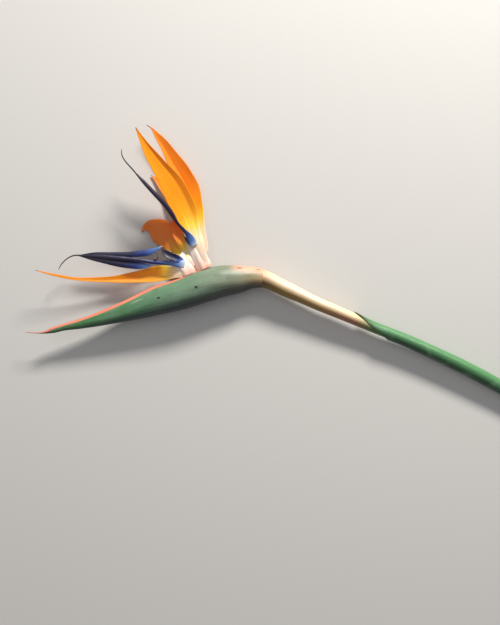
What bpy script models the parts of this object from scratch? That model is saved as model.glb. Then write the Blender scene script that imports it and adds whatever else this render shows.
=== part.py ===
"""Bird of paradise flower (Strelitzia reginae), cut and laid on its side.

The flower is drawn in its profile plane: X runs along the beak-shaped spathe and the
stem, Y is the side that the florets stand on, and Z is out of the plane.  The heel,
where the spathe leaves the stem, is at the origin of that plane.  An empty then tips the
plane so that the cut end of the stem and the side of the spathe both rest on Z = 0.
Sizes are given in millimetres and scaled to metres once, by MM.
"""

import math

import bmesh
import bpy
import numpy as np
from mathutils import Vector

MM = 0.001

# How the flower lies
LEAN_DEGREES = 1.325  # the profile plane slopes down to the thinner stem by this much

# Slope of the plane where the stem meets the spathe
HEEL_DEGREES = -14.0

# Thickness of the soft pieces and the gap between neighbours
SEPAL_THICKNESS = 1.2
SHEATH_WALL = 0.6
GAP = 0.3

# Number of rings along a piece and of corners round it
BLADE_RINGS = 14
BLADE_CELLS = 4
THREAD_RINGS = 8
THREAD_SIDES = 6
TONGUE_RINGS = 14
TONGUE_SIDES = 10
STEM_RINGS = 20
STEM_SIDES = 14
SPATHE_RINGS = 24

# Stem: x, y, z, radius
SCAPE = (
    (3.1, -0.9, 0, 7.2),
    (14.8, -6.0, 0, 6.5),
    (33.6, -14.8, 0, 5.65),
    (48.0, -21.5, 0, 5.15),
    (73.9, -32.3, 0, 4.7),
    (92.8, -40.6, 0, 4.1),
    (113.6, -48.7, 0, 4.2),
    (139.2, -59.9, 0, 4.4),
    (164.8, -72.1, 0, 4.65),
    (193.6, -87.2, 0, 4.65),
    (225.0, -104.3, 0, 4.75),
)
SHEATH_TOP_START = 0.345  # share of the stem's length where the sheath begins, above
SHEATH_LOW_START = 0.460  # and below, so that its free edge is oblique

# Spathe: x, y, z, height in the profile plane, thickness across it
SPATHE = (
    (-185.5, -44.0, 0, 0.8, 0.8),
    (-173.0, -44.4, 0, 1.4, 1.2),
    (-166.0, -43.0, 0, 3.2, 2.6),
    (-156.0, -40.4, 0, 5.4, 4.6),
    (-130.0, -34.4, 0, 10.6, 8.6),
    (-106.0, -27.3, 0, 16.6, 13.6),
    (-77.6, -17.9, 0, 24.0, 20.0),
    (-60.8, -13.4, 0, 25.2, 22.6),
    (-45.0, -7.6, 0, 26.8, 23.4),
    (-31.0, -3.6, 0, 25.6, 22.6),
    (-16.0, -1.7, 0, 22.6, 19.6),
    (-4.0, -0.5, 0, 17.4, 16.0),
    (2.6, -0.8, 0, 14.8, 14.4),
)
# Half of the spathe's section, from its keel up to its lip: share of half height and of
# half thickness.  The last point is the bottom of the groove between the two lips.
SPATHE_SECTION = (
    (-1.00, 0.00),
    (-0.93, 0.36),
    (-0.71, 0.71),
    (-0.38, 0.93),
    (0.00, 1.00),
    (0.38, 0.91),
    (0.68, 0.70),
    (0.88, 0.42),
    (1.00, 0.14),
    (0.93, 0.00),
)

# Pale floret bases: left x, left y, right x, right y, thickness, from foot to top
UPPER_BASE = (
    (-47.4, 6.6, -37.7, 11.2, 9.0),
    (-52.6, 16.5, -42.2, 19.0, 9.6),
    (-57.0, 26.5, -45.4, 29.5, 10.0),
)
LOWER_BASE = (
    (-60.3, 1.6, -49.4, 6.3, 8.0),
    (-62.5, 5.0, -52.2, 12.4, 8.6),
    (-64.4, 7.4, -57.0, 17.4, 8.0),
)

# Sepals, from base to tip: x, y, z, width, cup (rise of the edges as a share of width)
UPPER_SEPAL_LEFT = (
    (-50.4, 30.0, 0.6, 8.6, 0.04),
    (-52.8, 36.5, 0.9, 11.0, 0.08),
    (-57.6, 49.6, 1.8, 17.6, 0.12),
    (-64.0, 63.2, 4.0, 19.6, 0.14),
    (-72.0, 77.6, 8.0, 16.0, 0.16),
    (-80.8, 89.8, 13.0, 11.6, 0.18),
    (-88.8, 101.8, 18.5, 6.8, 0.20),
    (-93.6, 111.2, 22.5, 2.6, 0.10),
    (-96.8, 117.0, 24.5, 0.8, 0.00),
)
UPPER_SEPAL_RIGHT = (
    (-47.2, 31.4, -2.9, 6.4, 0.04),
    (-47.8, 41.6, -3.6, 8.0, 0.06),
    (-49.8, 55.2, -4.6, 10.4, 0.10),
    (-54.4, 69.8, -5.4, 13.0, 0.12),
    (-60.6, 82.4, -5.6, 12.6, 0.12),
    (-67.6, 93.4, -5.0, 10.4, 0.12),
    (-74.2, 104.6, -4.0, 7.6, 0.12),
    (-81.2, 114.2, -2.6, 3.8, 0.08),
    (-85.0, 119.2, -1.8, 1.4, 0.00),
    (-89.4, 121.8, -1.4, 0.8, 0.00),
)
UPPER_SEPAL_BACK = (
    (-54.8, 28.6, -5.4, 6.4, 0.04),
    (-59.2, 40.8, -6.8, 9.0, 0.08),
    (-64.0, 53.6, -8.2, 10.0, 0.10),
    (-69.6, 64.8, -9.6, 9.0, 0.10),
    (-74.8, 71.4, -10.6, 6.8, 0.08),
    (-80.4, 77.0, -11.7, 3.6, 0.04),
    (-85.8, 82.2, -12.3, 0.8, 0.00),
)
LOWER_SEPAL_ARCHED = (
    (-60.6, 16.2, -4.0, 6.6, 0.02),
    (-65.6, 22.4, -5.4, 10.0, 0.04),
    (-70.8, 29.6, -7.4, 15.4, 0.04),
    (-76.6, 35.8, -9.4, 18.8, 0.03),
    (-82.6, 39.6, -11.1, 15.6, 0.02),
    (-88.6, 40.8, -12.0, 7.6, 0.00),
    (-91.6, 39.4, -12.25, 3.0, 0.00),
    (-92.8, 36.6, -12.3, 1.0, 0.00),
)
LOWER_SEPAL_INNER = (
    (-58.6, 19.6, -0.8, 5.4, 0.02),
    (-61.4, 28.0, -1.4, 8.4, 0.04),
    (-64.6, 36.0, -2.2, 9.6, 0.04),
    (-67.2, 44.0, -2.8, 9.0, 0.04),
    (-68.8, 51.0, -3.2, 6.0, 0.02),
    (-69.6, 57.0, -3.4, 1.2, 0.00),
)
LOWER_SEPAL_LONG = (
    (-66.4, 4.4, -3.6, 8.6, 0.04),
    (-72.5, 3.2, -3.8, 10.8, 0.08),
    (-82.7, 2.2, -4.0, 11.6, 0.10),
    (-92.8, 0.5, -4.2, 9.6, 0.12),
    (-103.2, -0.8, -4.0, 7.2, 0.12),
    (-116.0, -1.8, -3.2, 5.2, 0.10),
    (-131.2, -2.1, -1.6, 3.4, 0.06),
    (-146.7, -1.4, 0.8, 2.2, 0.00),
    (-162.0, 1.4, 3.6, 1.8, 0.00),
    (-177.2, 5.2, 6.6, 0.9, 0.00),
)

# Blue tongues.  The upper one is seen on edge: x, y, z, half width, half depth across
UPPER_TONGUE = (
    (-53.6, 31.6, 4.6, 2.7, 1.5),
    (-58.7, 36.4, 6.4, 1.7, 1.4),
    (-64.2, 42.6, 8.4, 1.5, 2),
    (-68.6, 49.6, 10.4, 2.5, 4.5),
    (-74.2, 57.2, 12.2, 2.6, 5),
    (-84.3, 67.7, 14.8, 2.3, 3.7),
    (-90.2, 74.1, 16, 1.9, 2.5),
    (-97.6, 82.2, 17.4, 0.7, 0.7),
)
# The lower one is seen flat, as an open arrow: its outline, from the tip round the top
LOWER_TONGUE_OUTLINE = (
    (-142.6, 17.3),
    (-131.2, 19.7),
    (-102.4, 19.8),
    (-93.2, 21.4),
    (-81.8, 23.7),
    (-76.5, 24.8),
    (-79.4, 20.9),
    (-82.8, 18.5),
    (-87.4, 16.8),
    (-95.5, 16.0),
    (-87.8, 14.2),
    (-80.8, 13.2),
    (-72.5, 13.2),
    (-61.6, 14.0),
    (-65.4, 7.6),
    (-75.2, 9.1),
    (-83.2, 9.8),
    (-87.4, 7.5),
    (-92.4, 6.4),
    (-98.0, 6.6),
    (-111.0, 8.1),
    (-121.2, 10.4),
    (-133.9, 13.2),
    (-141.6, 15.8),
)
LOWER_TONGUE_Z = 1.6
LOWER_TONGUE_THICKNESS = 2.4

# Small third petals beside the tongues: x, y, z, width, cup
UPPER_NECTAR_PETAL = (
    (-57.2, 28.8, 3.6, 2.4, 0.05),
    (-58.8, 31.2, 3.9, 2.6, 0.05),
    (-60.4, 34.0, 4.2, 0.8, 0.00),
)
LOWER_NECTAR_PETAL = (
    (-62.2, 13.6, 4.6, 4.8, 0.02),
    (-67.5, 15.8, 4.8, 5.4, 0.05),
    (-72.4, 18.0, 4.9, 5.0, 0.05),
    (-75.4, 20.3, 4.9, 3.2, 0.04),
    (-77.2, 22.2, 4.8, 0.8, 0.00),
)

# Threads: x, y, z, radius
UPPER_STYLE = (
    (-98.1, 82.8, 17.6, 0.65),
    (-101.2, 86.4, 18.2, 0.60),
    (-105.2, 90.9, 18.8, 0.55),
    (-107.7, 95.4, 19.2, 0.50),
    (-108.2, 100.1, 19.4, 0.40),
)
LOWER_STYLE = (
    (-143.3, 17.2, 1.6, 0.65),
    (-147.4, 16.9, 1.6, 0.60),
    (-151.2, 15.2, 1.8, 0.55),
    (-154.2, 12.9, 2.0, 0.50),
    (-157.0, 9.6, 2.4, 0.45),
    (-159.0, 5.8, 2.8, 0.40),
)
LOWER_FILAMENT = (
    (-82.4, 13.6, 3.8, 0.45),
    (-80.5, 14.4, 4.2, 0.45),
    (-79.8, 16.4, 4.4, 0.45),
    (-81.0, 19.0, 4.0, 0.40),
)


def material(name, color, roughness):
    """A plain Principled material in the piece's own colour."""
    mat = bpy.data.materials.new(name)
    mat.use_nodes = True
    shader = mat.node_tree.nodes["Principled BSDF"]
    shader.inputs["Base Color"].default_value = (*color, 1.0)
    shader.inputs["Roughness"].default_value = roughness
    shader.inputs["Metallic"].default_value = 0.0
    mat.diffuse_color = (*color, 1.0)
    return mat


def smooth(stations, shares):
    """Rows of a smooth curve through the stations, at the given shares of its length."""
    rows = np.array(stations, dtype=float)
    steps = np.linalg.norm(np.diff(rows[:, :3], axis=0), axis=1)
    length = np.concatenate(([0.0], np.cumsum(steps)))
    slope = np.gradient(rows, length, axis=0)
    result = []
    for share in shares:
        at = share * length[-1]
        i = min(int(np.searchsorted(length, at, side="right")) - 1, len(rows) - 2)
        span = length[i + 1] - length[i]
        t = (at - length[i]) / span
        row = (2 * t**3 - 3 * t**2 + 1) * rows[i]
        row = row + (t**3 - 2 * t**2 + t) * span * slope[i]
        row = row + (3 * t**2 - 2 * t**3) * rows[i + 1]
        row = row + (t**3 - t**2) * span * slope[i + 1]
        result.append(row)
    return np.array(result)


def frames(points, heel_ring=None):
    """In-plane side vector and out-of-plane normal at each point of a path."""
    slope = math.radians(HEEL_DEGREES)
    result = []
    for i in range(len(points)):
        before = Vector(points[max(i - 1, 0)])
        after = Vector(points[min(i + 1, len(points) - 1)])
        along = (after - before).normalized()
        if i == heel_ring:
            along = Vector((math.cos(slope), math.sin(slope), 0))
        side = Vector((0, 0, 1)).cross(along).normalized()
        result.append((side, along.cross(side)))
    return result


def loft(name, rings, mat):
    """One closed solid through rings of points that all have the same count."""
    bm = bmesh.new()
    loops = []
    for ring in rings:
        loops.append([bm.verts.new(Vector(point) * MM) for point in ring])
    count = len(loops[0])
    for low, high in zip(loops, loops[1:]):
        for i in range(count):
            j = (i + 1) % count
            bm.faces.new((low[i], low[j], high[j], high[i]))
    bm.faces.new(loops[0])
    bm.faces.new(loops[-1])
    return finish(name, bm, mat)


def finish(name, bm, mat):
    """Turn the faces outwards, shade them and link the object."""
    bmesh.ops.recalc_face_normals(bm, faces=bm.faces)
    mesh = bpy.data.meshes.new(name)
    bm.to_mesh(mesh)
    bm.free()
    mesh.shade_smooth()
    mesh.set_sharp_from_angle(angle=math.radians(50))
    mesh.materials.append(mat)
    obj = bpy.data.objects.new(name, mesh)
    bpy.context.scene.collection.objects.link(obj)
    return obj


def blade(name, stations, mat, rings=BLADE_RINGS, thickness=SEPAL_THICKNESS):
    """A thin cupped sepal or petal along its midrib."""
    rows = smooth(stations, np.linspace(0, 1, rings))
    loops = []
    for row, (side, normal) in zip(rows, frames(rows[:, :3])):
        width = max(row[3], 0.8)
        face = []
        back = []
        for i in range(BLADE_CELLS + 1):
            across = 2 * i / BLADE_CELLS - 1
            half = 0.5 * min(thickness, width) * (1 - 0.6 * across**2)
            rise = row[4] * width * across**2
            edge = Vector(row[:3]) + side * (0.5 * width * across)
            face.append(edge + normal * (rise + half))
            back.append(edge + normal * (rise - half))
        loops.append(face + back[::-1])
    return loft(name, loops, mat)


def tube(name, stations, mat, rings, sides, heel_ring=None):
    """A round stem or thread along a path; a fifth value makes it oval."""
    rows = smooth(stations, np.linspace(0, 1, rings))
    loops = []
    for row, (side, normal) in zip(rows, frames(rows[:, :3], heel_ring)):
        loops.append(oval(row, side, normal, row[3], row[-1], sides))
    return loft(name, loops, mat)


def oval(row, side, normal, half_side, half_normal, sides):
    """Points of an oval round one point of a path."""
    points = []
    for i in range(sides):
        turn = 2 * math.pi * i / sides
        offset = side * (half_side * math.cos(turn)) + normal * (half_normal * math.sin(turn))
        points.append(Vector(row[:3]) + offset)
    return points


def sheath(name, mat):
    """The green bract rolled round the stem: a thin tube with an oblique upper end."""
    outer = []
    inner = []
    for k in range(STEM_RINGS):
        outer_ring = []
        inner_ring = []
        for i in range(STEM_SIDES):
            turn = 2 * math.pi * i / STEM_SIDES
            low = 0.5 - 0.5 * math.cos(turn)
            start = SHEATH_TOP_START + (SHEATH_LOW_START - SHEATH_TOP_START) * low
            share = start + (1 - start) * k / (STEM_RINGS - 1)
            row = smooth(SCAPE, (max(share - 0.01, 0), share, min(share + 0.01, 1)))
            side, normal = frames(row[:, :3])[1]
            ray = side * math.cos(turn) + normal * math.sin(turn)
            centre = Vector(row[1][:3])
            inner_ring.append(centre + ray * (row[1][3] + GAP))
            outer_ring.append(centre + ray * (row[1][3] + GAP + SHEATH_WALL))
        outer.append(outer_ring)
        inner.append(inner_ring)
    loops = outer + inner[::-1]
    bm = bmesh.new()
    verts = [[bm.verts.new(point * MM) for point in ring] for ring in loops]
    for k in range(len(verts)):
        low = verts[k]
        high = verts[(k + 1) % len(verts)]
        for i in range(STEM_SIDES):
            j = (i + 1) % STEM_SIDES
            bm.faces.new((low[i], low[j], high[j], high[i]))
    return finish(name, bm, mat)


def spathe(name, mat):
    """The beak-shaped bract: keeled below, with two closed lips along the top."""
    rows = smooth(SPATHE, np.linspace(0, 1, SPATHE_RINGS))
    half = list(SPATHE_SECTION)
    section = half + [(u, -v) for u, v in half[-2:0:-1]]
    loops = []
    for row, (side, normal) in zip(rows, frames(rows[:, :3], SPATHE_RINGS - 1)):
        ring = []
        for u, v in section:
            offset = side * (0.5 * row[3] * u) + normal * (0.5 * row[4] * v)
            ring.append(Vector(row[:3]) + offset)
        loops.append(ring)
    return loft(name, loops, mat)


def floret_base(name, stations, mat, rings=5, sides=12):
    """The pale foot of a floret, its foot cut along the lips that it stands between."""
    loops = []
    feet = [(*station[:2], 0, *station[2:]) for station in stations]
    for row in smooth(feet, np.linspace(0, 1, rings)):
        left = Vector((row[0], row[1], 0))
        right = Vector((row[3], row[4], 0))
        middle = (left + right) / 2
        loops.append(oval(middle, (right - left) / 2, Vector((0, 0, row[5] / 2)), 1, 1, sides))
    return loft(name, loops, mat)


def flat_tongue(name, mat):
    """The open arrow of the lower tongue."""
    bm = bmesh.new()
    low = LOWER_TONGUE_Z - 0.5 * LOWER_TONGUE_THICKNESS
    verts = [bm.verts.new(Vector((x, y, low)) * MM) for x, y in LOWER_TONGUE_OUTLINE]
    face = bm.faces.new(verts)
    grown = bmesh.ops.extrude_face_region(bm, geom=[face])
    top = [item for item in grown["geom"] if isinstance(item, bmesh.types.BMVert)]
    bmesh.ops.translate(bm, verts=top, vec=(0, 0, LOWER_TONGUE_THICKNESS * MM))
    return finish(name, bm, mat)


def lay_down(objects):
    """Tip the flower onto its side and put the origin under the middle of its box."""
    rest = bpy.data.objects.new("rest", None)
    bpy.context.scene.collection.objects.link(rest)
    rest.rotation_euler = (0, math.radians(LEAN_DEGREES), 0)
    for obj in objects:
        obj.parent = rest
    bpy.context.view_layer.update()
    corners = [obj.matrix_world @ v.co for obj in objects for v in obj.data.vertices]
    low = [min(corner[axis] for corner in corners) for axis in range(3)]
    high = [max(corner[axis] for corner in corners) for axis in range(3)]
    rest.location = (-(low[0] + high[0]) / 2, -(low[1] + high[1]) / 2, -low[2])


def main():
    for obj in list(bpy.data.objects):
        bpy.data.objects.remove(obj)

    stem_green = material("stem_cream_green", (0.46, 0.38, 0.16), 0.45)
    sheath_green = material("sheath_green", (0.05, 0.19, 0.06), 0.4)
    spathe_green = material("spathe_green", (0.10, 0.19, 0.11), 0.45)
    orange = material("sepal_orange", (0.95, 0.27, 0.01), 0.45)
    indigo = material("tongue_indigo", (0.01, 0.01, 0.07), 0.35)
    pale = material("floret_pale", (0.85, 0.72, 0.62), 0.5)
    thread = material("thread_dark", (0.04, 0.02, 0.04), 0.6)

    objects = [
        tube("scape", SCAPE, stem_green, STEM_RINGS, STEM_SIDES, heel_ring=0),
        sheath("sheath_bract", sheath_green),
        spathe("spathe", spathe_green),
        floret_base("upper_floret_base", UPPER_BASE, pale),
        blade("upper_sepal_left", UPPER_SEPAL_LEFT, orange),
        blade("upper_sepal_right", UPPER_SEPAL_RIGHT, orange),
        blade("upper_sepal_back", UPPER_SEPAL_BACK, orange),
        tube("upper_tongue", UPPER_TONGUE, indigo, TONGUE_RINGS, TONGUE_SIDES),
        blade("upper_nectar_petal", UPPER_NECTAR_PETAL, indigo, rings=6),
        tube("upper_style", UPPER_STYLE, thread, THREAD_RINGS, THREAD_SIDES),
        floret_base("lower_floret_base", LOWER_BASE, pale),
        blade("lower_sepal_arched", LOWER_SEPAL_ARCHED, orange),
        blade("lower_sepal_inner", LOWER_SEPAL_INNER, orange),
        blade("lower_sepal_long", LOWER_SEPAL_LONG, orange),
        flat_tongue("lower_tongue", indigo),
        blade("lower_nectar_petal", LOWER_NECTAR_PETAL, indigo, rings=8),
        tube("lower_style", LOWER_STYLE, thread, THREAD_RINGS, THREAD_SIDES),
        tube("lower_filament", LOWER_FILAMENT, thread, THREAD_RINGS, THREAD_SIDES),
    ]
    lay_down(objects)


main()
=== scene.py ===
# %% [markdown]
# # A cut bird of paradise flower, lying on its side
#
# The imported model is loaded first, as a fixed frame.  Every fine piece made below takes
# the place of one plain solid of that frame, so nothing here changes the flower's size.

# %% Load the frame
import math

import bpy
import numpy as np
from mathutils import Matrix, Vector


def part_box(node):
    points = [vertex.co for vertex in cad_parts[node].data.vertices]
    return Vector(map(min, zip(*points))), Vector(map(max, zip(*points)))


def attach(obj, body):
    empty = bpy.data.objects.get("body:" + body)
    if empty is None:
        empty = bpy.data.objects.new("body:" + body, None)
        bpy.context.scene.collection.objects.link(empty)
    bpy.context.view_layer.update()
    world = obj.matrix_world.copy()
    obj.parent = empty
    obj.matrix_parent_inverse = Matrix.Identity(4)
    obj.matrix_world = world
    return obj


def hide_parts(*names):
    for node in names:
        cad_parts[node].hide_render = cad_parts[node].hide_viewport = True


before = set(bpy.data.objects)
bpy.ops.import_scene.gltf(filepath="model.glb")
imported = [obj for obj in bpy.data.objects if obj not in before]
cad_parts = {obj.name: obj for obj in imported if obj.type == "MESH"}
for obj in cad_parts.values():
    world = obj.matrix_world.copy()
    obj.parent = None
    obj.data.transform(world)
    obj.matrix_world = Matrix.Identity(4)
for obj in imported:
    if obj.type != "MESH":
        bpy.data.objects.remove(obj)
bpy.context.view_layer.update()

# %% [markdown]
# ## The profile plane
#
# A flower like this is easiest to draw flat, in the plane that holds its stem and its
# beak: x along the beak, y to the side that the florets stand on, z out of the plane, all
# in millimetres from the heel, where the beak leaves the stem.  The flower rests on a thick
# spathe and a thin stem, so that plane leans a little.  Two corners of the frame's own
# boxes say where the plane lies in the world.

# %% From the profile plane to the world
MM = 0.001
LEAN = math.radians(1.325)
SPATHE_TIP_X = -185.5
STEM_END_SLOPE = 0.53
STEM_END = Vector((225.0, -104.3, 0))
STEM_RADIUS_AT_END = 4.75


def leaned(point):
    x, y, z = point
    cos = math.cos(LEAN)
    sin = math.sin(LEAN)
    return Vector((x * cos + z * sin, y, z * cos - x * sin)) * MM


spathe_low = Vector(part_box("spathe")[0])
scape_low = Vector(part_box("scape")[0])
end_drop = STEM_RADIUS_AT_END * math.cos(math.atan(STEM_END_SLOPE)) * MM
plane_origin = Vector((
    spathe_low.x - leaned((SPATHE_TIP_X, 0, 0)).x,
    scape_low.y + end_drop - leaned(STEM_END).y,
    scape_low.z + STEM_RADIUS_AT_END * MM - leaned(STEM_END).z,
))


def place(point):
    return leaned(point) + plane_origin


print("heel of the flower at", [round(value, 4) for value in place((0, 0, 0))])

# %% [markdown]
# ## A smooth row through a few stations
#
# A maker bends a petal by a few places that matter: where it starts, where it is widest,
# where it turns.  Each station lists x, y, z and then widths or other values, and this
# curve runs through all of them, so that a long piece needs only a handful of numbers.

# %% Smooth rows and their directions
def smooth(stations, shares):
    rows = np.array(stations, dtype=float)
    steps = np.linalg.norm(np.diff(rows[:, :3], axis=0), axis=1)
    length = np.concatenate(([0.0], np.cumsum(steps)))
    slope = np.gradient(rows, length, axis=0)
    result = []
    for share in shares:
        at = min(max(share, 0), 1) * length[-1]
        i = min(int(np.searchsorted(length, at, side="right")) - 1, len(rows) - 2)
        span = length[i + 1] - length[i]
        t = (at - length[i]) / span
        row = (2 * t**3 - 3 * t**2 + 1) * rows[i] + (t**3 - 2 * t**2 + t) * span * slope[i]
        row = row + (3 * t**2 - 2 * t**3) * rows[i + 1] + (t**3 - t**2) * span * slope[i + 1]
        result.append(row)
    return np.array(result)


def directions(rows):
    """For each row, the direction across it in the profile plane and the one out of it."""
    points = [Vector(row[:3]) for row in rows]
    result = []
    for i in range(len(points)):
        along = (points[min(i + 1, len(points) - 1)] - points[max(i - 1, 0)]).normalized()
        side = Vector((0, 0, 1)).cross(along).normalized()
        result.append((side, along.cross(side)))
    return result


print("smooth rows are ready")

# %% [markdown]
# ## Starting each piece from a grid
#
# A petal is a sheet and a stem is a rolled sheet, so both start as Blender's own grid.
# Pulling a plane into a petal by hand, with extrude and scale, would work for one petal;
# with many that taper, cup and twist, a grid moved row by row keeps them all alike to
# edit.  The grid brings its UV map: U runs along the piece and V from one edge to the
# other, which is what the veins and the colour bands follow later.

# %% Add a grid, roll it, thicken it, hand it over
MERGE_DISTANCE = 0.00002
SMOOTH_ANGLE = math.radians(60)


def only(obj):
    bpy.ops.object.select_all(action="DESELECT")
    obj.select_set(True)
    bpy.context.view_layer.objects.active = obj


def add_sheet(name, along, across):
    bpy.ops.object.select_all(action="DESELECT")
    bpy.ops.mesh.primitive_grid_add(x_subdivisions=along, y_subdivisions=across, size=2)
    sheet = bpy.context.object
    sheet.name = name
    return sheet


def shape(sheet, along, across, surface):
    """Move each grid point to surface(row, column), given as a profile point."""
    for vertex in sheet.data.vertices:
        i = round((vertex.co.x + 1) / 2 * along)
        j = round((vertex.co.y + 1) / 2 * across)
        vertex.co = place(surface(i, j))


def close_seam(obj, fill_ends):
    only(obj)
    bpy.ops.object.mode_set(mode="EDIT")
    bpy.ops.mesh.select_all(action="SELECT")
    bpy.ops.mesh.remove_doubles(threshold=MERGE_DISTANCE)
    if fill_ends:
        bpy.ops.mesh.select_all(action="DESELECT")
        bpy.ops.mesh.select_mode(type="EDGE")
        bpy.ops.mesh.select_non_manifold()
        bpy.ops.mesh.edge_face_add()
        bpy.ops.mesh.select_all(action="SELECT")
    bpy.ops.mesh.normals_make_consistent(inside=False)
    bpy.ops.object.mode_set(mode="OBJECT")


def apply_modifier(obj, kind, **values):
    only(obj)
    modifier = obj.modifiers.new(kind.lower(), kind)
    for key, value in values.items():
        setattr(modifier, key, value)
    bpy.ops.object.modifier_apply(modifier=modifier.name)


def hand_over(obj, node, mat):
    only(obj)
    bpy.ops.object.shade_smooth_by_angle(angle=SMOOTH_ANGLE)
    obj.data.materials.clear()
    obj.data.materials.append(mat)
    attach(obj, "root")
    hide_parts(node)
    print(obj.name, len(obj.data.polygons), "faces")


# %% [markdown]
# ## Shared effects
#
# Two effects come back in plant skins: fine veins that run lengthwise, and soft blotches
# where wax, age or handling has changed the tone.  A third, a small oval scar, is used
# several times on the spathe.  They could be painted by hand, but noise stretched along
# the piece's own map follows every bend without painting.  Each effect is a node group,
# so it is built once and each material only turns its knobs.

# %% Node helpers
def linear(r, g, b):
    shares = (r / 255, g / 255, b / 255)
    return tuple(v / 12.92 if v <= 0.04045 else ((v + 0.055) / 1.055) ** 2.4 for v in shares) + (1.0,)


def new_group(name, inputs, outputs):
    group = bpy.data.node_groups.new(name, "ShaderNodeTree")
    for label, kind, value in inputs:
        socket = group.interface.new_socket(label, in_out="INPUT", socket_type=kind)
        if value is not None:
            socket.default_value = value
    for label, kind in outputs:
        group.interface.new_socket(label, in_out="OUTPUT", socket_type=kind)
    return group, group.nodes.new("NodeGroupInput"), group.nodes.new("NodeGroupOutput")


def add(tree, kind, links=(), **values):
    node = tree.nodes.new(kind)
    for key, value in values.items():
        setattr(node, key, value)
    for socket, source in links:
        if hasattr(source, "is_linked"):
            tree.links.new(source, node.inputs[socket])
        else:
            node.inputs[socket].default_value = source
    return node


def math_node(tree, operation, a, b=0.0, clamp=False):
    return add(tree, "ShaderNodeMath", [(0, a), (1, b)], operation=operation, use_clamp=clamp).outputs[0]


def part_of(tree, mask, amount):
    return math_node(tree, "MULTIPLY", mask, amount)


def swing(tree, value, amount):
    """Turn a value between 0 and 1 into one between -amount / 2 and amount / 2."""
    return part_of(tree, math_node(tree, "SUBTRACT", value, 0.5), amount)


def noise(tree, vector, scale, detail, roughness=0.5):
    links = [("Vector", vector), ("Scale", scale), ("Detail", detail), ("Roughness", roughness)]
    return add(tree, "ShaderNodeTexNoise", links).outputs[0]


def map_range(tree, value, low, high, to_low=0.0, to_high=1.0, **values):
    links = [("Value", value), ("From Min", low), ("From Max", high), ("To Min", to_low), ("To Max", to_high)]
    return add(tree, "ShaderNodeMapRange", links, **values).outputs[0]


def ramp(tree, source, stops):
    node = add(tree, "ShaderNodeValToRGB", [(0, source)])
    points = node.color_ramp.elements
    while len(points) < len(stops):
        points.new(0.5)
    for point, (position, color) in zip(points, stops):
        point.position = position
        point.color = color
    return node.outputs[0]


def mix(tree, factor, a, b, blend="MIX"):
    links = [(0, factor), (6, a), (7, b)]
    return add(tree, "ShaderNodeMix", links, data_type="RGBA", blend_type=blend).outputs[2]


# %% Veins, blotches and a scar
CONTRAST = (0.35, 0.65)
BROADER = 0.22


def build_veins():
    group, given, out = new_group(
        "lengthwise_veins",
        [("UV", "NodeSocketVector", None), ("Across", "NodeSocketFloat", 60.0),
         ("Along", "NodeSocketFloat", 2.0), ("Wander", "NodeSocketFloat", 0.02)],
        [("Veins", "NodeSocketFloat"), ("Streaks", "NodeSocketFloat")])
    uv, across, along, wander = (given.outputs[label] for label in ("UV", "Across", "Along", "Wander"))
    drift = swing(group, noise(group, uv, 3.0, 2.0), wander)
    parts = add(group, "ShaderNodeSeparateXYZ", [(0, uv)])
    wide = part_of(group, math_node(group, "ADD", parts.outputs[1], drift), across)
    long = part_of(group, parts.outputs[0], along)
    fine = add(group, "ShaderNodeCombineXYZ", [(0, long), (1, wide)]).outputs[0]
    broad = add(group, "ShaderNodeVectorMath", [(0, fine), (3, BROADER)], operation="SCALE").outputs[0]
    group.links.new(map_range(group, noise(group, fine, 1.0, 4.0, 0.6), *CONTRAST), out.inputs["Veins"])
    group.links.new(map_range(group, noise(group, broad, 1.0, 3.0), *CONTRAST), out.inputs["Streaks"])
    return group


def build_blotches():
    group, given, out = new_group(
        "soft_blotches",
        [("Scale", "NodeSocketFloat", 60.0), ("Low", "NodeSocketFloat", 0.45),
         ("High", "NodeSocketFloat", 0.7)],
        [("Mask", "NodeSocketFloat")])
    coords = add(group, "ShaderNodeTexCoord").outputs["Object"]
    cloud = noise(group, coords, given.outputs["Scale"], 5.0, 0.6)
    group.links.new(map_range(group, cloud, given.outputs["Low"], given.outputs["High"]), out.inputs["Mask"])
    return group


def build_scar():
    group, given, out = new_group(
        "small_scar",
        [("UV", "NodeSocketVector", None), ("U", "NodeSocketFloat", 0.5), ("V", "NodeSocketFloat", 0.5),
         ("Half length", "NodeSocketFloat", 0.02), ("Half width", "NodeSocketFloat", 0.01)],
        [("Mask", "NodeSocketFloat")])
    parts = add(group, "ShaderNodeSeparateXYZ", [(0, given.outputs["UV"])])
    squares = []
    for axis, middle, half in ((0, "U", "Half length"), (1, "V", "Half width")):
        far = math_node(group, "SUBTRACT", parts.outputs[axis], given.outputs[middle])
        far = math_node(group, "DIVIDE", far, given.outputs[half])
        squares.append(math_node(group, "MULTIPLY", far, far))
    far = math_node(group, "ADD", squares[0], squares[1])
    group.links.new(map_range(group, far, 0.5, 1.2, 1.0, 0.0), out.inputs["Mask"])
    return group


VEINS = build_veins()
BLOTCHES = build_blotches()
SCAR = build_scar()
print("node groups", VEINS.name, BLOTCHES.name, SCAR.name)


# %% Start a material and use the groups in it
def start_material(name, roughness, subsurface=0.0):
    mat = bpy.data.materials.new(name)
    mat.use_nodes = True
    tree = mat.node_tree
    shader = tree.nodes["Principled BSDF"]
    shader.inputs["Roughness"].default_value = roughness
    shader.inputs["Subsurface Weight"].default_value = subsurface
    shader.inputs["Subsurface Radius"].default_value = (1.0, 0.5, 0.2)
    shader.inputs["Subsurface Scale"].default_value = 0.002
    uv = add(tree, "ShaderNodeUVMap")
    parts = add(tree, "ShaderNodeSeparateXYZ", [(0, uv.outputs[0])])
    return mat, tree, shader, uv.outputs[0], parts.outputs[0], parts.outputs[1]


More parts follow.
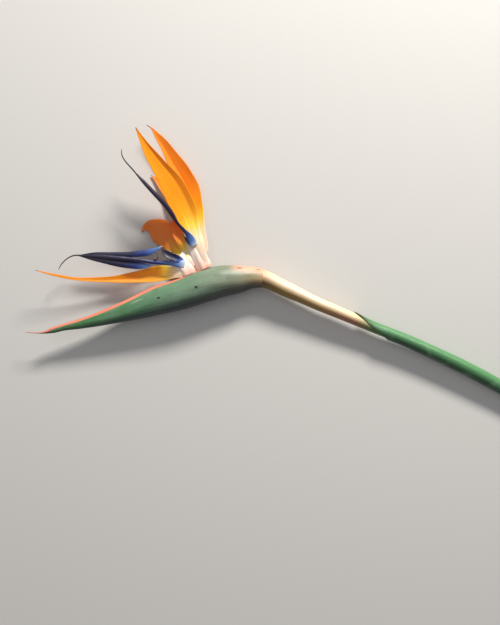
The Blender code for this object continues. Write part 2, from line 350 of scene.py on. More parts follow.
def veins(tree, uv, across, along, wander):
    links = [("UV", uv), ("Across", across), ("Along", along), ("Wander", wander)]
    node = add(tree, "ShaderNodeGroup", links, node_tree=VEINS)
    return node.outputs["Veins"], node.outputs["Streaks"]


def blotches(tree, scale, low, high):
    links = [("Scale", scale), ("Low", low), ("High", high)]
    return add(tree, "ShaderNodeGroup", links, node_tree=BLOTCHES).outputs["Mask"]


def scar(tree, uv, at_u, at_v, half_length, half_width):
    links = [("UV", uv), ("U", at_u), ("V", at_v), ("Half length", half_length), ("Half width", half_width)]
    return add(tree, "ShaderNodeGroup", links, node_tree=SCAR).outputs["Mask"]


def relief(tree, shader, height, strength, distance):
    bump = add(tree, "ShaderNodeBump", [("Height", height), ("Strength", strength), ("Distance", distance)])
    tree.links.new(bump.outputs[0], shader.inputs["Normal"])


# %% [markdown]
# ## Sepal skin
#
# A sepal starts white-pink in the floret's foot, turns cream, then yellow, and is deep
# orange for most of its length, with a dry brown point.  A ramp over U gives the bands,
# and the broad streaks push them in and out, so that no band ends in a straight line.
# Each sepal sets where its own white and yellow end, and its own orange; the deeper
# oranges of the lower floret's arched and inner sepals are painted shade.

# %% Sepal material
def sepal_skin(name, white_end, yellow_end, orange, light_orange, tip_start=0.97):
    mat, tree, shader, uv, u, _ = start_material(name, 0.42, 0.25)
    fine, broad = veins(tree, uv, 42, 2.2, 0.05)
    bands = math_node(tree, "ADD", u, swing(tree, broad, 0.06))
    base = ramp(tree, bands, [
        (0.0, linear(250, 222, 214)), (white_end, linear(253, 240, 205)),
        (0.5 * (white_end + yellow_end), linear(254, 222, 70)), (yellow_end, linear(255, 176, 12)),
        (min(yellow_end + 0.16, 0.9), linear(*orange))])
    color = mix(tree, part_of(tree, broad, 0.5), base, mix(tree, 0.55, base, linear(*light_orange)))
    shaded = mix(tree, 1.0, color, linear(235, 170, 120), "MULTIPLY")
    color = mix(tree, part_of(tree, fine, 0.30), color, shaded)
    color = mix(tree, map_range(tree, u, tip_start, 1.0), color, linear(96, 62, 40))
    tree.links.new(color, shader.inputs["Base Color"])
    relief(tree, shader, fine, 0.35, 0.0002)
    return mat


print("sepal skin is ready")

# %% [markdown]
# ## Sepals
#
# Each sepal is a long boat: a sheet folded along its midrib, widest in the middle and
# drawn out to a thread.  The midrib may sit off centre, and the free edges wave a little,
# because a real sepal is never a clean lens.  Solidify gives the sheet its thickness, and
# one level of Subdivision Surface rounds its edges.

# %% Shape one sepal
SEPAL_ALONG = 64
SEPAL_ACROSS = 16
SEPAL_THICKNESS = 0.55
SEPAL_FOLD = 1.35
MIDRIB_DEPTH = 0.02
MIDRIB_WIDTH = 0.09
THREAD_WIDTH = 0.45


def sepal(node, stations, mat, midrib=0.0, wave=0.012, phase=0.0):
    sheet = add_sheet("fine_" + node, SEPAL_ALONG, SEPAL_ACROSS)
    rows = smooth(stations, np.linspace(0, 1, SEPAL_ALONG + 1))
    dirs = directions(rows)

    def surface(i, j):
        row = rows[i]
        side, normal = dirs[i]
        share = i / SEPAL_ALONG
        a = 2 * j / SEPAL_ACROSS - 1
        width = max(row[3], THREAD_WIDTH)
        rise = row[4] * width * (abs(a - midrib) ** SEPAL_FOLD)
        edge = abs(a) ** 3 * wave * width
        rise += edge * math.sin(share * 23 + phase + 1.7 * a)
        edge_shift = edge * 1.6 * math.sin(share * 31 + 2 * phase + a)
        groove = -MIDRIB_DEPTH * width * math.exp(-((a - midrib) / MIDRIB_WIDTH) ** 2)
        return Vector(row[:3]) + side * (0.5 * width * a + edge_shift) + normal * (rise + groove)

    shape(sheet, SEPAL_ALONG, SEPAL_ACROSS, surface)
    apply_modifier(sheet, "SOLIDIFY", thickness=SEPAL_THICKNESS * MM, offset=0.0)
    apply_modifier(sheet, "SUBSURF", levels=1, render_levels=1)
    hand_over(sheet, node, mat)


# %% The upper floret's three sepals: x, y, z, width, rise of the edges
sepal("upper_sepal_left", (
    (-43.2, 8.6, 3.6, 9.0, -0.16),
    (-46.4, 16.0, 4.6, 11.0, -0.16),
    (-49.4, 24.6, 4.7, 12.4, -0.13),
    (-52.4, 35.5, 3.0, 13.6, -0.02),
    (-57.4, 49.6, 1.8, 18.8, 0.13),
    (-63.6, 63.2, 4.0, 20.4, 0.15),
    (-71.6, 77.6, 8.0, 17.0, 0.17),
    (-80.6, 89.8, 13.0, 12.0, 0.18),
    (-88.6, 101.8, 18.5, 7.4, 0.20),
    (-93.5, 110.6, 22.0, 3.2, 0.10),
    (-96.8, 117.0, 24.3, 0.5, 0.00),
), sepal_skin("upper_left_skin", 0.20, 0.34, (255, 150, 0), (255, 180, 26)), midrib=-0.45, phase=0.4)

sepal("upper_sepal_right", (
    (-42.6, 19.0, -2.0, 6.0, 0.02),
    (-44.6, 29.0, -2.9, 8.0, 0.05),
    (-46.8, 41.6, -3.6, 8.6, 0.08),
    (-49.6, 55.2, -4.6, 11.6, 0.12),
    (-53.8, 69.8, -5.0, 14.4, 0.14),
    (-60.0, 82.4, -5.2, 14.0, 0.15),
    (-67.2, 93.4, -4.6, 11.6, 0.15),
    (-74.2, 104.6, -3.6, 8.4, 0.14),
    (-81.2, 114.0, -2.4, 4.2, 0.08),
    (-85.4, 119.2, -1.8, 1.2, 0.00),
    (-89.4, 121.6, -1.4, 0.5, 0.00),
), sepal_skin("upper_right_skin", 0.16, 0.34, (255, 140, 0), (255, 166, 10), 0.93), midrib=0.3, phase=2.0)

sepal("upper_sepal_back", (
    (-50.0, 20.0, -3.6, 6.0, 0.02),
    (-54.8, 28.6, -5.4, 7.0, 0.04),
    (-59.2, 40.8, -6.8, 9.4, 0.08),
    (-64.0, 53.6, -8.2, 11.4, 0.10),
    (-69.6, 64.8, -9.6, 10.4, 0.10),
    (-74.8, 71.4, -10.4, 8.0, 0.08),
    (-80.4, 77.0, -11.3, 4.2, 0.04),
    (-85.8, 82.2, -11.9, 0.5, 0.00),
), sepal_skin("upper_back_skin", 0.14, 0.30, (255, 142, 0), (255, 170, 16)), midrib=0.0, phase=3.1)

# %% [markdown]
# ## The lower floret's sepals
#
# The lower floret's sepals spread wide.  One arches over with its tip turned down, one
# stands short beside it, and one is drawn out along the spathe to a long thread.  They
# are shaped by the same function as the upper three, from other stations, because all
# six grow to one pattern.

# %% The lower floret's three sepals
# The arched and the inner sepal get a deeper orange than the rest: painted shade, for where they lie behind
# the upper tongue.
sepal("lower_sepal_arched", (
    (-50.6, 8.8, 2.6, 6.0, -0.14),
    (-56.0, 13.4, 2.8, 8.4, -0.12),
    (-61.4, 18.0, -1.2, 9.6, -0.02),
    (-65.6, 22.4, -5.2, 11.6, 0.04),
    (-70.8, 29.6, -7.0, 16.8, -0.04),
    (-76.6, 35.8, -8.8, 20.0, -0.06),
    (-82.6, 39.6, -10.4, 16.4, -0.05),
    (-88.6, 40.6, -11.4, 8.4, 0.00),
    (-91.6, 39.4, -11.9, 3.4, 0.00),
    (-92.8, 36.4, -12.0, 0.6, 0.00),
), sepal_skin("lower_arched_skin", 0.17, 0.40, (246, 128, 0), (255, 146, 10)),
    midrib=0.1, phase=1.2, wave=0.01)

sepal("lower_sepal_inner", (
    (-52.0, 12.0, 0.4, 4.6, 0.02),
    (-56.6, 19.6, -0.4, 6.4, 0.03),
    (-60.8, 28.0, -1.2, 9.0, 0.06),
    (-63.8, 35.0, -2.0, 9.4, 0.08),
    (-65.8, 41.0, -2.8, 7.6, 0.08),
    (-66.8, 46.0, -3.2, 3.6, 0.04),
    (-67.4, 50.0, -3.4, 0.6, 0.00),
), sepal_skin("lower_inner_skin", 0.20, 0.42, (238, 116, 0), (250, 136, 10)), midrib=-0.2, phase=0.2)

sepal("lower_sepal_long", (
    (-50.8, 5.2, 3.2, 6.4, -0.14),
    (-57.6, 4.4, 3.8, 8.8, -0.14),
    (-65.4, 4.0, 1.0, 9.8, -0.02),
    (-72.5, 3.4, -3.8, 11.4, 0.08),
    (-82.7, 2.4, -4.0, 12.2, 0.12),
    (-92.8, 0.6, -4.2, 10.4, 0.14),
    (-103.2, -0.7, -4.0, 7.8, 0.14),
    (-116.0, -1.8, -3.2, 5.4, 0.12),
    (-131.2, -2.1, -1.6, 3.6, 0.08),
    (-146.7, -1.4, 0.8, 2.4, 0.00),
    (-162.0, 1.4, 3.6, 1.9, 0.00),
    (-177.2, 5.2, 6.6, 0.5, 0.00),
), sepal_skin("lower_long_skin", 0.13, 0.24, (255, 150, 4), (255, 184, 30)), midrib=0.15, phase=2.6)

# %% [markdown]
# ## Rolled pieces: stem, sheath, spathe, floret feet and threads
#
# Each of these is a grid rolled until its two long edges meet.  A bevelled curve would
# make the round ones too, but the spathe and the feet have sections of their own, and one
# way serves them all.  The seam is merged and the ends are filled, so the piece is one
# closed skin.

# %% Roll a sheet round a path
def rolled(name, stations, along, around, ring):
    sheet = add_sheet(name, along, around)
    rows = smooth(stations, np.linspace(0, 1, along + 1))
    dirs = directions(rows)
    shape(sheet, along, around, lambda i, j: ring(rows[i], dirs[i], i / along, j / around))
    close_seam(sheet, fill_ends=True)
    return sheet


def round_ring(row, dirs, share, turn):
    angle = 2 * math.pi * turn
    side, normal = dirs
    return Vector(row[:3]) + side * (row[3] * math.cos(angle)) + normal * (row[-1] * math.sin(angle))


# %% [markdown]
# ## Stem
#
# The stem is cream and pink on the florets' side near the heel and olive brown on the
# other.  That other side is darker partly in the stem's own brown and partly as painted
# shade, since the key light falls on the florets' side.  Under the sheath it is green.
# V runs round it: 0 and 1 face the florets' side, so the cosine of its angle says which
# side a point is on.

# %% Stem material and piece: x, y, z, radius
STEM = (
    (2.0, -0.8, 0, 7.3),
    (7.2, -2.4, 0, 6.9),
    (14.8, -6.0, 0, 6.45),
    (25.0, -10.9, 0, 6.15),
    (33.6, -14.8, 0, 5.65),
    (48.0, -21.5, 0, 5.15),
    (61.6, -27.1, 0, 4.95),
    (73.9, -32.3, 0, 4.65),
    (92.8, -40.6, 0, 4.1),
    (113.6, -48.7, 0, 4.2),
    (139.2, -59.9, 0, 4.4),
    (164.8, -72.1, 0, 4.65),
    (193.6, -87.2, 0, 4.65),
    (224.6, -104.1, 0, 4.7),
)


def florets_side(tree, v, low, high):
    cosine = math_node(tree, "COSINE", math_node(tree, "MULTIPLY", v, 2 * math.pi))
    return map_range(tree, cosine, low, high)


def stem_skin():
    mat, tree, shader, uv, u, v = start_material("stem_skin", 0.42, 0.1)
    fine, broad = veins(tree, uv, 46, 26, 0.01)
    spots = blotches(tree, 70, 0.5, 0.72)
    pale = ramp(tree, u, [
        (0.0, linear(236, 178, 140)), (0.03, linear(244, 214, 178)), (0.12, linear(250, 230, 198)),
        (0.32, linear(246, 222, 176)), (0.4, linear(120, 150, 80))])
    # The side away from the florets: partly the stem's own brown tint, partly painted shade for the side the
    # key light misses.
    underside_tint_and_shade = ramp(tree, u, [
        (0.0, linear(74, 54, 36)), (0.07, linear(128, 104, 44)), (0.2, linear(146, 112, 60)),
        (0.33, linear(150, 96, 80)), (0.4, linear(80, 110, 60))])
    color = mix(tree, florets_side(tree, v, -0.35, 0.45), underside_tint_and_shade, pale)
    color = mix(tree, part_of(tree, broad, 0.22), color, linear(180, 140, 84))
    color = mix(tree, part_of(tree, spots, 0.25), color, linear(150, 124, 60))
    tree.links.new(color, shader.inputs["Base Color"])
    relief(tree, shader, fine, 0.3, 0.0003)
    return mat


stem = rolled("fine_scape", STEM, 160, 40, round_ring)
hand_over(stem, "scape", stem_skin())

# %% [markdown]
# ## Sheath
#
# The sheath is a leaf rolled round the stem.  Its upper edge runs oblique, dries out to
# a dark point on the florets' side, and stands a little clear of the stem.  It could be a
# copy of the stem's surface made fatter, but its edge has to cross the stem at a slant,
# so each column of the grid starts at its own share of the stem's length.

# %% Sheath material and piece
SHEATH_ALONG = 120
SHEATH_AROUND = 40
SHEATH_TOP = 0.325
SHEATH_LOW = 0.462
SHEATH_WALL = 0.5
SHEATH_CLEARANCE = 0.30
SHEATH_EDGE_LIFT = 0.25
SHEATH_EDGE_ROWS = 6
SAMPLE_STEP = 0.01


def sheath_skin():
    mat, tree, shader, uv, u, v = start_material("sheath_skin", 0.36, 0.05)
    fine, broad = veins(tree, uv, 50, 14, 0.01)
    spots = blotches(tree, 90, 0.52, 0.7)
    # The mask top is the florets' side, where the key light falls; the dark green away from it is painted
    # shade.  The same mask also keeps the dry edge on that side.
    top = florets_side(tree, v, -0.6, 0.8)
    color = mix(tree, top, linear(36, 62, 44), linear(86, 146, 88))
    color = mix(tree, part_of(tree, broad, 0.3), color, linear(60, 120, 62))
    color = mix(tree, part_of(tree, spots, 0.3), color, linear(128, 160, 124))
    dry_edge = map_range(tree, u, 0.0, 0.05, 1.0, 0.0)
    color = mix(tree, part_of(tree, dry_edge, top), color, linear(52, 38, 28))
    tree.links.new(color, shader.inputs["Base Color"])
    relief(tree, shader, fine, 0.35, 0.0003)
    return mat


def make_sheath():
    sheet = add_sheet("fine_sheath_bract", SHEATH_ALONG, SHEATH_AROUND)

    def surface(i, j):
        angle = 2 * math.pi * j / SHEATH_AROUND
        low = 0.5 - 0.5 * math.cos(angle)
        start = SHEATH_TOP + (SHEATH_LOW - SHEATH_TOP) * low**0.8
        share = start + (1 - start) * i / SHEATH_ALONG
        rows = smooth(STEM, (share - SAMPLE_STEP, share, share + SAMPLE_STEP))
        side, normal = directions(rows)[1]
        lift = SHEATH_CLEARANCE + SHEATH_EDGE_LIFT * math.exp(-(i / SHEATH_EDGE_ROWS) ** 2)
        if i == SHEATH_ALONG:
            rows[1][:2] = STEM_END[:2]
        ray = side * math.cos(angle) + normal * math.sin(angle)
        return Vector(rows[1][:3]) + ray * (rows[1][3] + lift)

    shape(sheet, SHEATH_ALONG, SHEATH_AROUND, surface)
    close_seam(sheet, fill_ends=False)
    apply_modifier(sheet, "SOLIDIFY", thickness=SHEATH_WALL * MM, offset=1.0)
    return sheet


hand_over(make_sheath(), "sheath_bract", sheath_skin())

# %% [markdown]
# ## Spathe
#
# The spathe is one long bract folded like a beak.  Its keel is on one side, its two lips
# meet on the other, and the florets push out between them near the heel.  U runs from the
# tip (0) to the heel (1).  V is 0.5 at the lips and 0 or 1 at the keel, so the height from
# keel to lips is one less twice the distance of V from 0.5, and the coral margin is
# simply where that height is large.

# %% Spathe piece: x, y, z, height in the profile plane, thickness out of it
SPATHE = (
    (-185.5, -44.0, 0, 0.5, 0.5),
    (-180.0, -44.5, 0, 0.7, 0.7),
    (-173.0, -44.6, 0, 1.3, 1.1),
    (-169.0, -44.0, 0, 2.6, 2.0),
    (-164.0, -42.6, 0, 4.6, 3.4),
    (-156.0, -40.4, 0, 5.4, 4.6),
    (-143.0, -37.6, 0, 8.0, 6.6),
    (-130.0, -34.4, 0, 10.6, 8.6),
    (-106.0, -27.3, 0, 16.6, 13.6),
    (-77.6, -17.9, 0, 24.0, 20.0),
    (-60.8, -13.4, 0, 25.2, 22.6),
    (-45.0, -7.6, 0, 26.8, 23.3),
    (-31.0, -3.6, 0, 25.6, 22.5),
    (-16.0, -1.7, 0, 22.6, 19.6),
    (-4.0, -0.5, 0, 17.2, 16.0),
    (3.4, -1.1, 0, 14.9, 14.5),
)
SPATHE_ALONG = 220
SPATHE_AROUND = 72
LIP_HEIGHT = 0.22
LIP_PINCH = 0.22
GROOVE_DEPTH = 0.10
GROOVE_WIDTH = 0.035
RIPPLE = 0.008


def spathe_ring(row, dirs, share, turn):
    side, normal = dirs
    a = 2 * turn - 1
    height = 1 - abs(a)
    angle = math.pi * (1 - height)
    u = math.cos(angle)
    v = math.sin(angle)
    lip = max(0.0, 1 - abs(1 - abs(u)) / LIP_HEIGHT) if u > 0 else 0.0
    v = v * (1 - LIP_PINCH * lip)
    open_share = min(1.0, max(0.0, (share - 0.05) / 0.1)) * min(1.0, max(0.0, (0.93 - share) / 0.05))
    u = u - GROOVE_DEPTH * open_share * math.exp(-(abs(1 - height) / GROOVE_WIDTH) ** 2)
    sign = 1 if a >= 0 else -1
    ripple = RIPPLE * math.sin(9 * angle + 3 * math.sin(share * 12)) * (1 - lip)
    return (Vector(row[:3]) + side * (0.5 * row[3] * (u + ripple * u))
            + normal * (sign * 0.5 * row[4] * (v + ripple * v)))


spathe = rolled("fine_spathe", SPATHE, SPATHE_ALONG, SPATHE_AROUND, spathe_ring)
print("spathe", len(spathe.data.polygons), "faces")

# %% [markdown]
# ### Spathe skin
#
# The skin is waxy green on its flanks, dark towards the keel, coral along the lips and
# blushed at the heel, with a few dark scars and slits.  The dark towards the keel is partly
# the spathe's own purple flush and partly painted shade, for the side that the key light
# misses.  The layers are mixed one over another in that order, each through its own mask,
# so that one can be changed alone.

# %% Spathe material
# Scars, as U, V, half length and half width on the skin's own map
HEEL_SLITS = ((0.912, 0.606, 0.014, 0.010), (0.980, 0.600, 0.010, 0.010))
SIDE_SCARS = ((0.566, 0.73, 0.008, 0.012), (0.725, 0.74, 0.007, 0.014))
PALE_SCRATCH = (0.478, 0.672, 0.03, 0.008)


def grey(value):
    return (value, value, value, 1.0)


def spathe_skin():
    mat, tree, shader, uv, u, v = start_material("spathe_skin", 0.40, 0.03)
    shader.inputs["Coat Weight"].default_value = 0.12
    shader.inputs["Coat Roughness"].default_value = 0.35
    fine, broad = veins(tree, uv, 90, 9, 0.012)
    wax = blotches(tree, 45, 0.42, 0.66)
    spots = blotches(tree, 160, 0.6, 0.7)
    from_middle = math_node(tree, "SUBTRACT", math_node(tree, "MULTIPLY", v, 2.0), 1.0)
    height = math_node(tree, "SUBTRACT", 1.0, math_node(tree, "ABSOLUTE", from_middle))
    skin = ramp(tree, u, [
        (0.0, linear(110, 72, 58)), (0.08, linear(128, 78, 60)), (0.12, linear(70, 118, 56)),
        (0.3, linear(58, 124, 60)), (0.5, linear(86, 132, 92)), (0.72, linear(110, 136, 108)),
        (0.88, linear(122, 126, 100)), (0.96, linear(160, 138, 98)), (1.0, linear(186, 146, 100))])
    # Dark colours towards the keel: partly the spathe's own purple flush, partly painted shade for the side
    # the key light misses.
    underside_tint_and_shade = ramp(tree, u, [
        (0.0, linear(84, 56, 48)), (0.12, linear(34, 66, 40)), (0.5, linear(22, 34, 44)),
        (0.85, linear(30, 24, 36)), (0.95, linear(44, 30, 34)), (1.0, linear(60, 42, 34))])
    edge = math_node(tree, "ADD", height, swing(tree, broad, 0.08))
    rise = map_range(tree, edge, 0.14, 0.52, interpolation_type="SMOOTHSTEP")
    color = mix(tree, rise, underside_tint_and_shade, skin)
    color = mix(tree, part_of(tree, part_of(tree, wax, rise), 0.32), color, linear(150, 166, 148))
    color = mix(tree, part_of(tree, broad, 0.28), color, linear(48, 80, 52))
    color = mix(tree, part_of(tree, spots, 0.18), color, linear(40, 50, 38))
    at_heel = ramp(tree, u, [(0.86, grey(0)), (0.93, grey(1))])
    at_lips = ramp(tree, height, [(0.62, grey(0)), (0.8, grey(1))])
    blush = part_of(tree, part_of(tree, at_heel, at_lips), 0.9)
    color = mix(tree, blush, color, linear(240, 172, 140))
    for slit in HEEL_SLITS:
        color = mix(tree, scar(tree, uv, *slit), color, linear(92, 58, 40))
    for mark in SIDE_SCARS:
        color = mix(tree, scar(tree, uv, *mark), color, linear(38, 44, 34))
    color = mix(tree, part_of(tree, scar(tree, uv, *PALE_SCRATCH), 0.6), color, linear(170, 186, 160))
    start = ramp(tree, u, [
        (0.06, grey(0.45)), (0.12, grey(0.58)), (0.3, grey(0.68)), (0.6, grey(0.78)),
        (0.76, grey(0.86)), (0.8, grey(1))])
    margin = math_node(tree, "MULTIPLY", math_node(tree, "SUBTRACT", height, start), 16.0, clamp=True)
    coral = mix(tree, part_of(tree, broad, 0.5), linear(224, 120, 92), linear(240, 158, 132))
    line = ramp(tree, height, [(0.86, grey(0)), (0.885, grey(1)), (0.91, grey(0))])
    coral = mix(tree, part_of(tree, line, 0.35), coral, linear(176, 84, 66))
    color = mix(tree, margin, color, coral)
    tree.links.new(color, shader.inputs["Base Color"])
    relief(tree, shader, fine, 0.35, 0.0003)
    return mat


hand_over(spathe, "spathe", spathe_skin())

# %% [markdown]
# ## Floret feet
#
# The foot of a floret is the fleshy white tube that its sepals grow out of.  It is
# gently fluted and blushes pink where it leaves the lips.  Its section is wider than it
# is deep, so each station gives a left and a right edge instead of a radius.

# %% Foot material and pieces
FOOT_ALONG = 40
FOOT_AROUND = 48
FLUTE_DEPTH = 0.045
FLUTE_TURN = 0.6


def foot_skin(name):
    mat, tree, shader, uv, u, _ = start_material(name, 0.4, 0.35)
    fine, broad = veins(tree, uv, 26, 2, 0.03)
    skin = ramp(tree, u, [
        (0.0, linear(226, 118, 104)), (0.10, linear(246, 190, 176)), (0.4, linear(250, 226, 218)),
        (1.0, linear(252, 240, 222))])
    color = mix(tree, part_of(tree, broad, 0.4), skin, linear(250, 236, 200))
    color = mix(tree, part_of(tree, fine, 0.15), color, linear(226, 170, 160))
    tree.links.new(color, shader.inputs["Base Color"])
    relief(tree, shader, fine, 0.3, 0.0003)
    return mat


def foot(node, stations, flutes):
    sheet = add_sheet("fine_" + node, FOOT_ALONG, FOOT_AROUND)
    rows = smooth([(*row[:2], 0, *row[2:]) for row in stations], np.linspace(0, 1, FOOT_ALONG + 1))

    def surface(i, j):
        row = rows[i]
        left = Vector((row[0], row[1], 0))
        right = Vector((row[3], row[4], 0))
        angle = 2 * math.pi * j / FOOT_AROUND
        swell = 1 + FLUTE_DEPTH * math.cos(flutes * angle + FLUTE_TURN)
        across = (right - left) / 2 * (math.cos(angle) * swell)
        return (left + right) / 2 + across + Vector((0, 0, 0.5 * row[5] * math.sin(angle) * swell))

    shape(sheet, FOOT_ALONG, FOOT_AROUND, surface)
    close_seam(sheet, fill_ends=True)
    hand_over(sheet, node, foot_skin(node + "_skin"))


# Stations: left x, left y, right x, right y, depth
foot("upper_floret_base", (
    (-48.8, 3.4, -36.4, 9.4, 9.2),
    (-52.4, 12.0, -40.4, 16.4, 9.4),
    (-55.2, 19.5, -42.8, 22.6, 8.6),
    (-57.4, 26.6, -44.0, 30.0, 5.0),
    (-58.4, 31.0, -45.2, 34.0, 1.6),
), 7)
foot("lower_floret_base", (
    (-62.0, -0.6, -48.6, 4.4, 8.6),
    (-63.4, 3.2, -50.8, 9.6, 8.8),
    (-65.4, 5.6, -54.4, 14.4, 7.4),
    (-67.0, 7.6, -58.4, 18.4, 4.0),
    (-69.0, 9.0, -60.6, 20.0, 1.6),
), 6)

# %% [markdown]
# ## Tongues
#
# Two of each floret's petals are fused into a stiff blue arrow that holds the stamens.
# The upper one stands on edge, as a narrow dark keel; the lower one lies open.  One skin
# serves both: pale and then blue at the base, nearly black towards the tip, with a thin
# clear coat for the waxy shine.

# %% Tongue material
def tongue_skin(name, blue_start, blue_end):
    mat, tree, shader, uv, u, _ = start_material(name, 0.30)
    shader.inputs["Coat Weight"].default_value = 0.2
    shader.inputs["Coat Roughness"].default_value = 0.3
    fine, broad = veins(tree, uv, 30, 5, 0.02)
    skin = ramp(tree, u, [
        (0.0, linear(206, 220, 232)), (blue_start, linear(96, 140, 200)),
        (0.5 * (blue_start + blue_end), linear(20, 48, 120)), (blue_end, linear(14, 14, 52)),
        (1.0, linear(22, 12, 30))])
    streaked = mix(tree, 1.0, skin, linear(150, 140, 190), "MULTIPLY")
    color = mix(tree, part_of(tree, broad, 0.35), skin, streaked)
    color = mix(tree, part_of(tree, fine, 0.16), color, linear(70, 60, 104))
    tree.links.new(color, shader.inputs["Base Color"])
    relief(tree, shader, fine, 0.3, 0.0002)
    return mat


print("tongue skin is ready")

# %% The upper tongue, on edge: x, y, z, half width, half depth
def keel_ring(row, dirs, share, turn):
    side, normal = dirs
    angle = 2 * math.pi * turn
    return (Vector(row[:3]) + side * (row[3] * math.cos(angle) * (0.8 + 0.2 * math.sin(angle)))
            + normal * (row[4] * math.sin(angle)))


upper_tongue = rolled("fine_upper_tongue", (
    (-50.6, 25.4, 5.0, 3.0, 1.0),
    (-53.8, 30.6, 6.0, 3.2, 1.4),
    (-58.7, 36.6, 7.0, 1.7, 1.5),
    (-64.2, 42.6, 8.4, 1.5, 2.0),
    (-68.6, 49.6, 10.4, 2.4, 4.5),
    (-74.2, 57.2, 12.2, 2.6, 5.0),
    (-84.3, 67.7, 14.8, 2.1, 3.7),
    (-90.2, 74.1, 16.0, 1.8, 2.5),
    (-97.6, 82.2, 17.4, 0.6, 0.6),
), 90, 32, keel_ring)
hand_over(upper_tongue, "upper_tongue", tongue_skin("upper_tongue_skin", 0.05, 0.22))

# %% [markdown]
# ## The open arrow
#
# The lower tongue is a shaft with one long blade on either side of it.  Each blade is a
# sheet of its own whose edges turn down a little, and both meet the shaft near the tip.
# One outline cut out flat would be quicker, but it would look like paper.  The three are
# joined into one object because they grew as one.

# %% Lower tongue: shaft with half width and half depth, blades with width and rise of the edges
STRIP_CUP = 1.5
STRIP_THICKNESS = 0.7
STRIP_POINT = 0.4


def strip(name, stations, along=60, across=10):
    sheet = add_sheet(name, along, across)
    rows = smooth(stations, np.linspace(0, 1, along + 1))
    dirs = directions(rows)

    def surface(i, j):
        row = rows[i]
        side, normal = dirs[i]
        a = 2 * j / across - 1
        width = max(row[3], STRIP_POINT)
        return Vector(row[:3]) + side * (0.5 * width * a) + normal * (row[4] * width * abs(a) ** STRIP_CUP)

    shape(sheet, along, across, surface)
    apply_modifier(sheet, "SOLIDIFY", thickness=STRIP_THICKNESS * MM, offset=0.0)
    apply_modifier(sheet, "SUBSURF", levels=1, render_levels=1)
    return sheet


shaft = rolled("fine_lower_tongue", (
    (-58.6, 9.8, 3.6, 3.6, 1.0),
    (-63.4, 10.6, 3.4, 3.2, 1.4),
    (-72.5, 11.2, 2.4, 1.9, 1.4),
    (-80.8, 11.5, 2.1, 1.6, 1.3),
    (-95.5, 13.4, 2.2, 1.7, 1.2),
    (-115.0, 15.2, 2.1, 1.8, 1.1),
    (-132.0, 16.6, 1.9, 1.5, 0.9),
    (-142.6, 16.9, 1.6, 0.6, 0.5),
), 80, 20, round_ring)
upper_blade = strip("upper_blade", (
    (-76.5, 24.8, 1.4, 0.5, 0.0),
    (-80.6, 22.4, 1.4, 2.4, -0.1),
    (-86.0, 20.0, 1.5, 5.0, -0.14),
    (-93.2, 18.7, 1.6, 5.4, -0.14),
    (-102.4, 17.9, 1.6, 4.4, -0.12),
    (-118.0, 17.8, 1.6, 4.0, -0.10),
    (-131.2, 18.0, 1.6, 3.2, -0.06),
    (-142.0, 17.2, 1.6, 0.8, 0.0),
))
lower_blade = strip("lower_blade", (
    (-83.2, 9.8, 1.2, 0.6, 0.0),
    (-88.0, 8.9, 1.2, 3.2, -0.1),
    (-93.6, 8.9, 1.3, 5.2, -0.14),
    (-102.0, 9.6, 1.3, 6.0, -0.14),
    (-112.0, 10.9, 1.4, 5.6, -0.14),
    (-122.0, 12.8, 1.5, 4.6, -0.12),
    (-133.9, 15.0, 1.5, 2.8, -0.06),
    (-142.0, 16.6, 1.5, 0.7, 0.0),
))
bpy.ops.object.select_all(action="DESELECT")
for piece in (upper_blade, lower_blade, shaft):
    piece.select_set(True)
bpy.context.view_layer.objects.active = shaft
bpy.ops.object.join()
hand_over(shaft, "lower_tongue", tongue_skin("lower_tongue_skin", 0.06, 0.42))

# %% [markdown]
# ## Small third petals
#
# The third petal of each floret is a small dark hood over the nectar, at the foot of the
# tongue.  It is a short strip, cupped upwards, in the tongue's own skin.

# %% Small third petals
upper_petal = strip("fine_upper_nectar_petal", (
    (-54.0, 24.0, 4.4, 1.4, 0.05),
    (-56.0, 27.6, 4.8, 2.0, 0.10),
    (-57.8, 30.6, 4.9, 1.8, 0.10),
    (-59.4, 33.0, 4.8, 0.4, 0.0),
), 24, 8)
hand_over(upper_petal, "upper_nectar_petal", tongue_skin("upper_petal_skin", 0.2, 0.6))
lower_petal = strip("fine_lower_nectar_petal", (
    (-60.2, 12.2, 3.6, 4.0, 0.0),
    (-62.8, 13.8, 4.4, 5.0, 0.12),
    (-67.5, 15.8, 4.8, 5.8, 0.16),
    (-72.4, 18.0, 4.9, 5.6, 0.16),
    (-75.4, 20.3, 4.9, 3.6, 0.10),
    (-77.2, 22.2, 4.8, 0.5, 0.0),
), 36, 10)
hand_over(lower_petal, "lower_nectar_petal", tongue_skin("lower_petal_skin", 0.08, 0.35))

# %% [markdown]
# ## Threads
#
# A style runs on past the tip of each tongue, dark, dry and curling.  One filament has
# sprung loose and arches between the lower tongue's blade and its shaft.  A bevelled
# curve would do, but rolled like the stem they get the same lengthwise map.

# %% Threads: x, y, z, radius
THREAD_ALONG = 40
THREAD_AROUND = 12
THREADS = {
    "upper_style": (
        (-97.0, 81.6, 17.3, 0.6),
        (-101.2, 86.4, 18.2, 0.55),
        (-105.2, 90.9, 18.8, 0.5),
        (-107.7, 95.4, 19.2, 0.42),
        (-108.2, 100.1, 19.4, 0.25),
    ),
    "lower_style": (
        (-141.6, 17.2, 1.6, 0.62),
        (-147.4, 16.9, 1.6, 0.55),
        (-151.2, 15.2, 1.8, 0.5),
        (-154.2, 12.9, 2.0, 0.45),
        (-157.0, 9.6, 2.4, 0.4),
        (-159.0, 5.8, 2.8, 0.22),
    ),
    "lower_filament": (
        (-83.4, 13.2, 3.0, 0.42),
        (-80.9, 14.1, 3.8, 0.42),
        (-79.8, 16.4, 4.2, 0.40),
        (-80.9, 19.2, 3.4, 0.36),
    ),
}


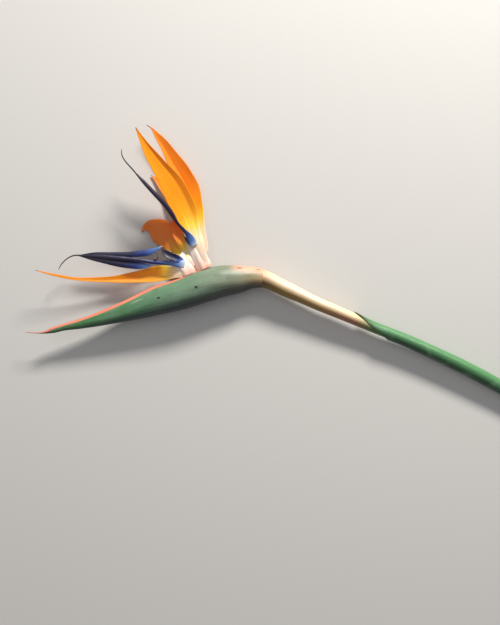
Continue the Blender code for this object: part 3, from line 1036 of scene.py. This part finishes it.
def thread_skin():
    mat, tree, shader, uv, _, _ = start_material("thread_skin", 0.55)
    fine, broad = veins(tree, uv, 8, 14, 0.02)
    color = mix(tree, broad, linear(36, 24, 40), linear(92, 66, 60))
    tree.links.new(color, shader.inputs["Base Color"])
    relief(tree, shader, fine, 0.4, 0.0001)
    return mat


THREAD_SKIN = thread_skin()
for node, stations in THREADS.items():
    thread = rolled("fine_" + node, stations, THREAD_ALONG, THREAD_AROUND, round_ring)
    hand_over(thread, node, THREAD_SKIN)

# %% [markdown]
# ## Floor, light and camera
#
# The flower lies on its side, so the camera looks straight down on it, from far enough
# that the parts nearer to it hardly look bigger.  The key light stands beyond the
# florets, a little to the right, and leaves the keel's side dark.  The Standard view
# keeps the oranges as saturated as the skins set them; the usual view transform would
# wash them out.

# %% Floor, light and camera
VIEW_HEIGHT = 0.500
CAMERA_DISTANCE = 1.4
SENSOR = 36.0
FLOOR_SIZE = 6
FLOOR_DROP = 0.0002
AIM = place((-6.4, -28.4, 0))

bpy.ops.object.select_all(action="DESELECT")
bpy.ops.mesh.primitive_plane_add(size=FLOOR_SIZE, location=(0, 0, -FLOOR_DROP))
floor = bpy.context.object
floor.name = "floor"
floor_mat = bpy.data.materials.new("floor_paint")
floor_mat.use_nodes = True
floor_shader = floor_mat.node_tree.nodes["Principled BSDF"]
floor_shader.inputs["Base Color"].default_value = linear(206, 203, 197)
floor_shader.inputs["Roughness"].default_value = 0.9
floor.data.materials.append(floor_mat)


def soft_light(name, offset, size, power, color):
    data = bpy.data.lights.new(name, "AREA")
    data.shape = "DISK"
    data.size = size
    data.energy = power
    data.color = color
    light = bpy.data.objects.new(name, data)
    light.location = AIM + Vector(offset)
    light.rotation_euler = (-Vector(offset)).to_track_quat("-Z", "Y").to_euler()
    bpy.context.scene.collection.objects.link(light)


soft_light("key", (0.35, 1.1, 0.62), 0.25, 25, (1, 0.98, 0.95))
soft_light("fill", (-0.3, 0.4, 1.5), 1.4, 4, (0.97, 0.98, 1))

bpy.context.scene.view_settings.view_transform = "Standard"

world = bpy.data.worlds.new("room")
world.use_nodes = True
background = world.node_tree.nodes["Background"]
background.inputs["Color"].default_value = (0.9, 0.92, 1.0, 1)
background.inputs["Strength"].default_value = 0.26
bpy.context.scene.world = world

camera_data = bpy.data.cameras.new("camera")
camera_data.sensor_width = SENSOR
camera_data.lens = SENSOR * CAMERA_DISTANCE / VIEW_HEIGHT
camera = bpy.data.objects.new("camera", camera_data)
camera.location = AIM + Vector((0, 0, CAMERA_DISTANCE))
bpy.context.scene.collection.objects.link(camera)
bpy.context.scene.camera = camera
print("camera above", [round(value, 4) for value in AIM])
